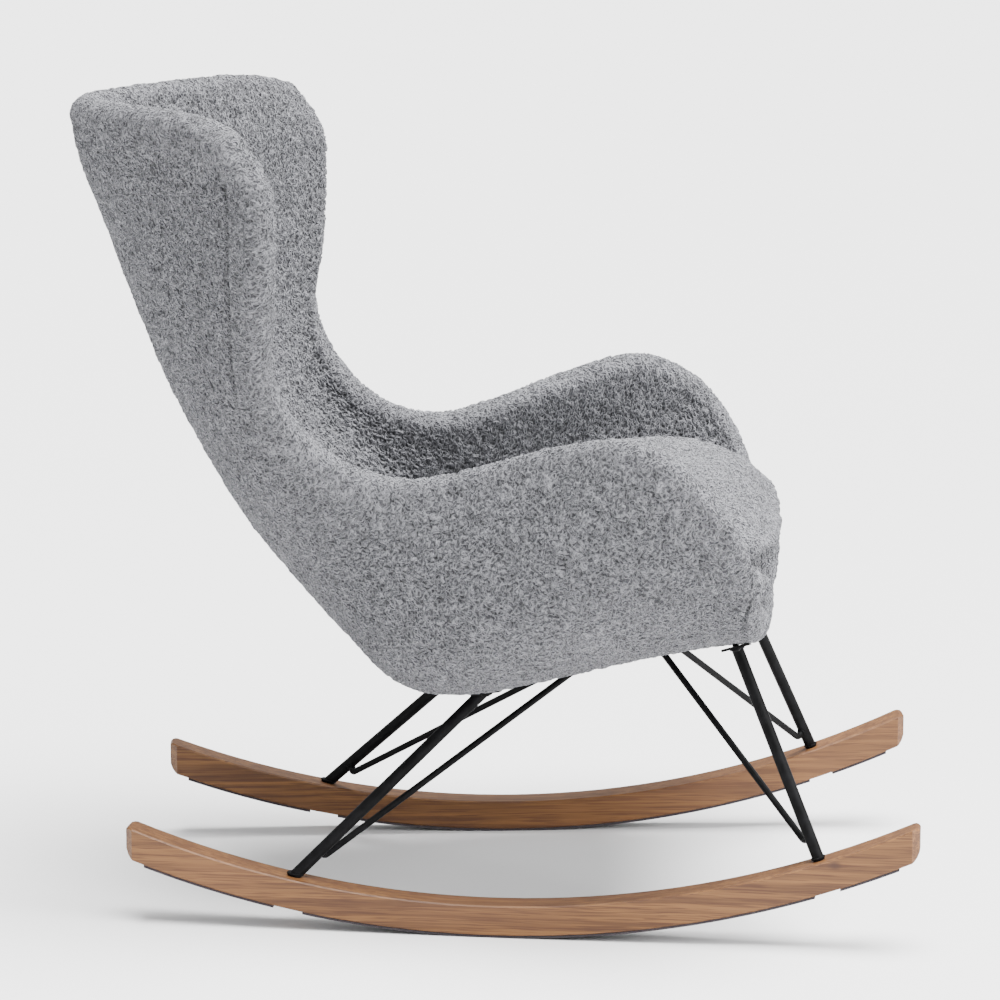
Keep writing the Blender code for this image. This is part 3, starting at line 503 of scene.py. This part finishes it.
def section_points(row, t):
    spine_y, spine_z, rim_x, rim_y, rim_z, flat, wall_x, wall_d, _ = row
    across = rim_x * (3 * (1 - t) ** 2 * t * flat + 3 * (1 - t) * t**2 * wall_x + t**3)
    depth = 3 * (1 - t) * t**2 * wall_d + t**3
    backward, upward = spine_y + (rim_y - spine_y) * depth, spine_z + (rim_z - spine_z) * depth
    return np.stack((across, backward, upward), axis=1)


section_cache = {}


def section_at(u):
    """A row's values, and its half length at even steps of the curve's own parameter."""
    key = round(float(u), 6)
    if key not in section_cache:
        row = row_at(u)
        t = np.linspace(0.0, 1.0, 161)
        steps = np.linalg.norm(np.diff(section_points(row, t), axis=0), axis=1)
        section_cache[key] = row, t, np.concatenate(([0.0], np.cumsum(steps)))
    return section_cache[key]


def middle(u, v):
    """Points on the middle of the tub's thickness, for one u and many signed v."""
    row, t, along = section_at(u)
    want = np.abs(v) * along[-1]
    speed = (t[-1] - t[-2]) / (along[-1] - along[-2])
    at = np.interp(want, along, t) + np.maximum(want - along[-1], 0.0) * speed
    points = section_points(row, at)
    points[:, 0] *= np.where(v < 0, -1.0, 1.0)
    points[:, 1] += CHAIR_SHIFT
    points[:, 2] -= CORNER_DROP * (u / TOP_ROW) ** 10 * np.abs(v) ** 8
    return points


def unit(rows):
    return rows / np.linalg.norm(rows, axis=1, keepdims=True)


def slopes(u, v):
    along = middle(min(u + SLOPE_STEP, TOP_ROW), v) - middle(max(u - SLOPE_STEP, 0.0), v)
    across = middle(u, v + SLOPE_STEP) - middle(u, v - SLOPE_STEP)
    return unit(along), unit(across)


def outward(u, v):
    along, across = slopes(u, v)
    return unit(np.cross(along, across))


def half_thickness(u, v):
    share = np.minimum(np.abs(v), 1.0)
    ease = share * share * (3 - 2 * share)
    return (RIM_HALF + (section_at(u)[0][8] - RIM_HALF) * (1 - ease))[:, None]


def tub_points(u, v, depth=None):
    """Points that far in from the tub's outer face, or on its inner face."""
    half = half_thickness(u, v)
    depth = 2 * half if depth is None else np.broadcast_to(depth, (len(v),))[:, None]
    return middle(u, v) + outward(u, v) * (half - depth)


def seam_rows():
    """Where the seam crosses the spine, in rows, at the front edge and at the top."""
    spine = np.zeros(1)
    first = np.linalg.norm(middle(0.5, spine) - middle(0.0, spine))
    last = np.linalg.norm(middle(TOP_ROW - 0.5, spine) - middle(TOP_ROW, spine))
    return FRONT_BAND / first * 0.5, TOP_ROW - RIM_BAND / last * 0.5


SEAM_FRONT, SEAM_TOP = seam_rows()


def seam_share(u):
    return 1 - RIM_BAND / section_at(u)[2][-1]


def even_rows(low, high, count):
    """Rows at even distances along the tub, measured part of the way out to the rim."""
    fine = np.linspace(low, high, 600)
    line = np.array([middle(u, np.array((0.55,)))[0] for u in fine])
    along = np.concatenate(([0.0], np.cumsum(np.linalg.norm(np.diff(line, axis=0), axis=1))))
    return np.interp(np.linspace(0.0, along[-1], count + 1), along, fine)


def crease(u, v):
    """How deep the cover dips at the seam: plain down the wings, nothing along the arms and the top."""
    wing = np.clip((u - 7.5) / 2.0, 0, 1) * np.clip((TOP_ROW - 0.2 - u) / 1.0, 0, 1)
    distance = (seam_share(u) - np.abs(v)) * section_at(u)[2][-1]
    dip = CREASE_DEPTH * np.exp(-((distance / CREASE_WIDTH) ** 2))
    return wing * (dip - SHOULDER_RISE * np.exp(-((distance / SHOULDER_WIDTH) ** 2)))


def crease_shade(u, v):
    """0 away from the seam to 1 in the fold, for the painted shade that lies there."""
    return np.maximum(crease(u, v), 0.0) / (CREASE_DEPTH - SHOULDER_RISE)


def lattice(rows, columns, offset=0, flip=False):
    """The faces of a grid of points."""
    r, c = np.meshgrid(np.arange(rows - 1), np.arange(columns - 1), indexing="ij")
    a = (offset + r * columns + c).ravel()
    faces = np.stack((a, a + 1, a + columns + 1, a + columns), axis=1)
    return (faces[:, ::-1] if flip else faces).tolist()


def ring_of(rows, columns, offset=0):
    loop = [(0, c) for c in range(columns - 1)] + [(r, columns - 1) for r in range(rows - 1)]
    loop += [(rows - 1, c) for c in range(columns - 1, 0, -1)] + [(r, 0) for r in range(rows - 1, 0, -1)]
    return [offset + r * columns + c for r, c in loop]


def closed_by_hidden(verts, faces, edge, depth, flip=False):
    """Closes a fine cover with a coarse hidden face: each coarse edge takes several fine ones."""
    start = len(verts)
    for u in seam_rows_at[::EVERY]:
        share = seam_share(u)
        verts += list(tub_points(u, np.linspace(-share, share, ACROSS // EVERY + 1), depth))
    size = UPWARDS // EVERY + 1, ACROSS // EVERY + 1
    faces += lattice(*size, start, flip)
    inner = ring_of(*size, start)
    for k, corner in enumerate(inner):
        fine = [edge[(k * EVERY + s) % len(edge)] for s in range(EVERY + 1)]
        following = inner[(k + 1) % len(inner)]
        faces.append(fine[::-1] + [corner, following] if flip else fine + [following, corner])
    return len(verts) - start


boucle_tub = boucle("boucle_tub", (0.0, 0.0, 0.0))

seam_rows_at = even_rows(SEAM_FRONT, SEAM_TOP, UPWARDS)
verts, faced, fold_shades = [], [], []
for u in seam_rows_at:
    share = seam_share(u)
    v = np.linspace(-share, share, ACROSS + 1)
    verts += list(tub_points(u, v, SEAM_DIP + crease(u, v)))
    faced += list(outward(u, v))
    # painted shade for the crease by the seam
    fold_shades += list(crease_shade(u, v))
faces = lattice(UPWARDS + 1, ACROSS + 1, flip=True)
edge = ring_of(UPWARDS + 1, ACROSS + 1)
hidden = closed_by_hidden(verts, faces, edge, COVER_THICK)
outer_cover = shown("outer_cover", verts, faces, boucle_tub)
facing(outer_cover, faced + [(0.0, 0.0, 0.0)] * hidden, fold_shades + [0.0] * hidden)
folded_at(outer_cover, edge)

rows = even_rows(0.0, TOP_ROW, UPWARDS)
columns = np.linspace(-1.0, 1.0, ACROSS + 1)
verts, faced = [], []
for u in rows:
    verts += list(tub_points(u, columns))
    faced += list(-outward(u, columns))
fold_shades = [0.0] * (len(verts) + ROLL * len(edge))
faces = lattice(UPWARDS + 1, ACROSS + 1)


def strip(faces, before, after):
    for k in range(len(before)):
        n = (k + 1) % len(before)
        faces.append((before[k], after[k], after[n], before[n]))


rolled, seam_at = [], []
for k in edge:
    r, c = divmod(k, ACROSS + 1)
    u, v = rows[r], columns[c]
    at = np.array((v,))
    along, across = slopes(u, at)
    way = np.zeros((1, 3))
    if r == 0:
        way -= along
    if r == UPWARDS:
        way += along
    if c in (0, ACROSS):
        way += across * math.copysign(1.0, v)
    rolled.append((middle(u, at)[0], half_thickness(u, at)[0, 0], outward(u, at)[0], unit(way)[0]))
    seam_at.append((u, v, seam_rows_at[r], v * seam_share(seam_rows_at[r])))
previous = edge
for step in range(1, ROLL + 1):
    angle = math.pi * (step / ROLL - 0.5)
    ring = list(range(len(verts), len(verts) + len(edge)))
    for centre, radius, out, way in rolled:
        faced.append(out * math.sin(angle) + way * math.cos(angle))
        verts.append(centre + faced[-1] * radius)
    strip(faces, previous, ring)
    previous = ring
for step in range(1, BAND_STEPS + 1):
    share = step / BAND_STEPS
    ring = list(range(len(verts), len(verts) + len(edge)))
    for u, v, seam_u, seam_v in seam_at:
        at_u, at_v = u + (seam_u - u) * share, np.array((v + (seam_v - v) * share,))
        verts.append(tub_points(at_u, at_v, SEAM_DIP * share + crease(at_u, at_v))[0])
        faced.append(outward(at_u, at_v)[0])
        fold_shades.append(crease_shade(at_u, at_v)[0])
    strip(faces, previous, ring)
    previous = ring
hidden = closed_by_hidden(verts, faces, previous, COVER_THICK + CORE_THICK + 0.001, flip=True)
inner_cover = shown("inner_cover", verts, faces, boucle_tub)
facing(inner_cover, faced + [(0.0, 0.0, 0.0)] * hidden, fold_shades + [0.0] * hidden)
folded_at(inner_cover, previous)

inside = BVHTree.FromPolygons([tuple(v) for v in verts[:(UPWARDS + 1) * (ACROSS + 1)]],
                              lattice(UPWARDS + 1, ACROSS + 1))
for piece in (outer_cover, inner_cover):
    grown(piece, LOOPS, Loop_size=LOOP_SIZE, Loop_height=TUB_PILE, Cloth=boucle_tub)
    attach(piece, "chair")
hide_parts("outer_upholstery")
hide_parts("inner_upholstery")

# ---------------------------------------------------------------- Plywood core
# The tub's strength is an 11 mm shell of moulded plywood, which the upholstery hides on all sides.
# Its faces are bare beech veneer with straight grain.
plywood, tree, shader = finish("beech_veneer", Roughness=0.6)
grain_at = tree.place(stretch=(1.0, 1.0, 0.05))
grain = tree.noise(grain_at, 180.0, 4.0, 0.6)
colour = tree.blend(grain.between(0.35, 0.65), (0.62, 0.42, 0.25), (0.48, 0.29, 0.15))
tree.join(shader.inputs["Base Color"], colour)
tree.join(shader.inputs["Normal"], tree.bump(grain, 0.2, 0.0003))
nodes["shell_core"].data.materials[0] = plywood

# ---------------------------------------------------------------- Seat cushion
# A loose cushion of foam wrapped in fibre, in the same bouclé: a crowned top and a side band between
# two seams. Its filling swells it between the seams, and it lies in the tub with its front standing out.
SWELL = 0.016                    # furthest that the filling may push the cover
GROOVE, GROOVE_WIDTH = 0.0075, 0.0075
# the next width is that of the shade painted into the cover along each seam
FOLD_SHADE_WIDTH = 0.0065              # width of the shade in a seam
SEAM_DROPS = (0.30, 0.80)        # the two seams, as shares of the band's height
CLEAR = 0.0025                   # gap kept between the cushion and the tub

cushion_mesh = nodes["seat_cushion"].data.copy()
shaped = bmesh.new()
shaped.from_mesh(cushion_mesh)
bmesh.ops.remove_doubles(shaped, verts=shaped.verts, dist=1e-5)
bmesh.ops.recalc_face_normals(shaped, faces=shaped.faces)
shaped.to_mesh(cushion_mesh)
shaped.free()
cushion = bpy.data.objects.new("cushion", cushion_mesh)
bpy.context.scene.collection.objects.link(cushion)


def applied(piece):
    """The piece with its modifiers made part of its mesh."""
    bpy.context.view_layer.update()
    evaluated = piece.evaluated_get(bpy.context.evaluated_depsgraph_get())
    mesh = bpy.data.meshes.new_from_object(evaluated)
    piece.modifiers.clear()
    piece.data = mesh


def coordinates(piece):
    found = np.zeros(len(piece.data.vertices) * 3)
    piece.data.vertices.foreach_get("co", found)
    return found.reshape(-1, 3)


def move_to(piece, rows):
    piece.data.vertices.foreach_set("co", rows.ravel())
    piece.data.update()


plump = cushion.modifiers.new("plump", "SUBSURF")
plump.levels = plump.render_levels = 2
even = cushion.modifiers.new("even", "REMESH")
even.mode = "VOXEL"
even.voxel_size = 0.0055
applied(cushion)
rest = coordinates(cushion)
out_of = np.zeros(rest.size)
cushion.data.vertex_normals.foreach_get("vector", out_of)
out_of = out_of.reshape(-1, 3)
cloth = cushion.modifiers.new("filling", "CLOTH")
cloth.settings.use_pressure = True
cloth.settings.uniform_pressure_force = 4.0
cloth.settings.effector_weights.gravity = 0.0
cloth.settings.quality = 5
scene = bpy.context.scene
for step in range(1, 21):
    scene.frame_set(step)
applied(cushion)
scene.frame_set(1)
swollen = coordinates(cushion)
shift = swollen - rest
move_to(cushion, rest + out_of * np.clip((shift * out_of).sum(1, keepdims=True), 0.0, SWELL))
finer = cushion.modifiers.new("finer", "SUBSURF")
finer.levels = finer.render_levels = 1
applied(cushion)

# the seams: where the top panel and the underside meet the side band
plain = coordinates(nodes["seat_cushion"])
centre = (plain[:, :2].min(0) + plain[:, :2].max(0)) / 2
whole = coordinates(cushion)
cushion_faces = [tuple(f.vertices) for f in cushion.data.polygons]
tree_of_cushion = BVHTree.FromPolygons([tuple(p) for p in whole], cushion_faces)
angles = np.arctan2(plain[:, 1] - centre[1], plain[:, 0] - centre[0])
radii = np.hypot(plain[:, 0] - centre[0], plain[:, 1] - centre[1])
order = np.argsort(angles)
TURN = 2 * math.pi
widest = np.array([radii[np.abs((angles - a + math.pi) % TURN - math.pi) < 0.09].max() for a in angles])
rim = [k for k in order if radii[k] > widest[k] * 0.985]
under = plain[:, 2] < plain[rim, 2].max()
low = [k for k in order if widest[k] * 0.90 < radii[k] < widest[k] * 0.985 and under[k]]
seam_points = []
for a in np.linspace(-math.pi, math.pi, 720, endpoint=False):
    top_z = np.interp(a, angles[rim], plain[rim, 2], period=TURN)
    low_z = min(np.interp(a, angles[low], plain[low, 2], period=TURN), top_z - 0.004)
    band = top_z - low_z
    for drop in SEAM_DROPS:
        way = Vector((math.cos(a), math.sin(a), 0.0))
        core = Vector((centre[0], centre[1], top_z - band * drop))
        hit = tree_of_cushion.ray_cast(core + way * 0.5, -way)[0]
        if hit:
            seam_points.append((hit, min(1.0, band / 0.03)))
seams = KDTree(len(seam_points))
for k, (point, _) in enumerate(seam_points):
    seams.insert(point, k)
seams.balance()
normals = np.zeros(len(cushion.data.vertices) * 3)
cushion.data.vertex_normals.foreach_get("vector", normals)
normals = normals.reshape(-1, 3)
fold_shades = np.zeros(len(whole))
for k, point in enumerate(whole):
    _, index, distance = seams.find(point)
    # painted shade along the cushion's seams, fading with distance from them
    fold_shades[k] = seam_points[index][1] * math.exp(-((distance / FOLD_SHADE_WIDTH) ** 2))
    if distance < 0.025:
        pull = GROOVE * seam_points[index][1] * math.exp(-((distance / GROOVE_WIDTH) ** 2))
        whole[k] -= normals[k] * pull
    place, normal, _, away = inside.find_nearest(point, 0.04)
    if place is not None:
        clear = (Vector(whole[k]) - place).dot(normal)
        if clear < CLEAR:
            whole[k] = place + normal * CLEAR
move_to(cushion, whole)
boucle_cushion = boucle("boucle_cushion", (0.37, 0.21, 0.13))
cushion.data.materials.clear()
cushion.data.materials.append(boucle_cushion)
cushion.data.shade_smooth()
cushion.data.vertex_normals.foreach_get("vector", normals.ravel())
facing(cushion, normals, fold_shades)
grown(cushion, LOOPS, Loop_size=LOOP_SIZE, Loop_height=CUSHION_PILE, Cloth=boucle_cushion)
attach(cushion, "cushion")
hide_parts("seat_cushion")

# ---------------------------------------------------------------- Floor, light and camera
# A plain pale studio floor that runs far back, a soft even light from overhead, a broad lamp in front
# and a weak fill from all round.
floor_mesh = bpy.data.meshes.new("floor")
floor_mesh.from_pydata([(-30, -30, 0), (30, -30, 0), (30, 30, 0), (-30, 30, 0)], [], [(0, 1, 2, 3)])
floor = bpy.data.objects.new("floor", floor_mesh)
bpy.context.scene.collection.objects.link(floor)
paint, tree, shader = finish("studio_floor", Roughness=0.9)
cast = tree.noise(tree.place(), 0.7, 2.0)
tree.join(shader.inputs["Base Color"], tree.blend(cast, (0.80, 0.80, 0.80), (0.82, 0.82, 0.82)))
floor_mesh.materials.append(paint)

world = bpy.data.worlds.new("studio")
world.use_nodes = True
world.node_tree.nodes["Background"].inputs["Color"].default_value = (1.0, 1.0, 1.0, 1.0)
world.node_tree.nodes["Background"].inputs["Strength"].default_value = 0.75
bpy.context.scene.world = world


def soft_light(name, place, aim, size, power):
    lamp = bpy.data.lights.new(name, "AREA")
    lamp.size, lamp.energy = size, power
    holder = bpy.data.objects.new(name, lamp)
    holder.location = place
    holder.rotation_euler = (Vector(aim) - Vector(place)).to_track_quat("-Z", "Y").to_euler()
    bpy.context.scene.collection.objects.link(holder)


sky = bpy.data.lights.new("overhead", "SUN")
sky.energy, sky.angle = 13.0, math.radians(45)
overhead = bpy.data.objects.new("overhead", sky)
overhead.rotation_euler = Vector((0.06, 0.16, -1.0)).to_track_quat("-Z", "Y").to_euler()
bpy.context.scene.collection.objects.link(overhead)
soft_light("front", (-1.6, -3.2, 1.8), (0.0, 0.0, 0.5), 1.8, 170)

lens = bpy.data.cameras.new("view")
lens.sensor_width = 36.0
lens.lens = 167.67
lens.shift_x, lens.shift_y = 0.0031, -0.0007
lens.clip_end = 100.0
camera = bpy.data.objects.new("view", lens)
yaw, pitch = 0.0502737, -0.1823825
forward = Vector((math.cos(yaw) * math.cos(pitch), math.sin(yaw) * math.cos(pitch), math.sin(pitch)))
right = Vector((math.sin(yaw), -math.cos(yaw), 0.0))
turn = Matrix((right, right.cross(forward), -forward)).transposed()
camera.matrix_world = Matrix.Translation((-5.4883, -0.2777, 1.4825)) @ turn.to_4x4()
bpy.context.scene.collection.objects.link(camera)
bpy.context.scene.camera = camera
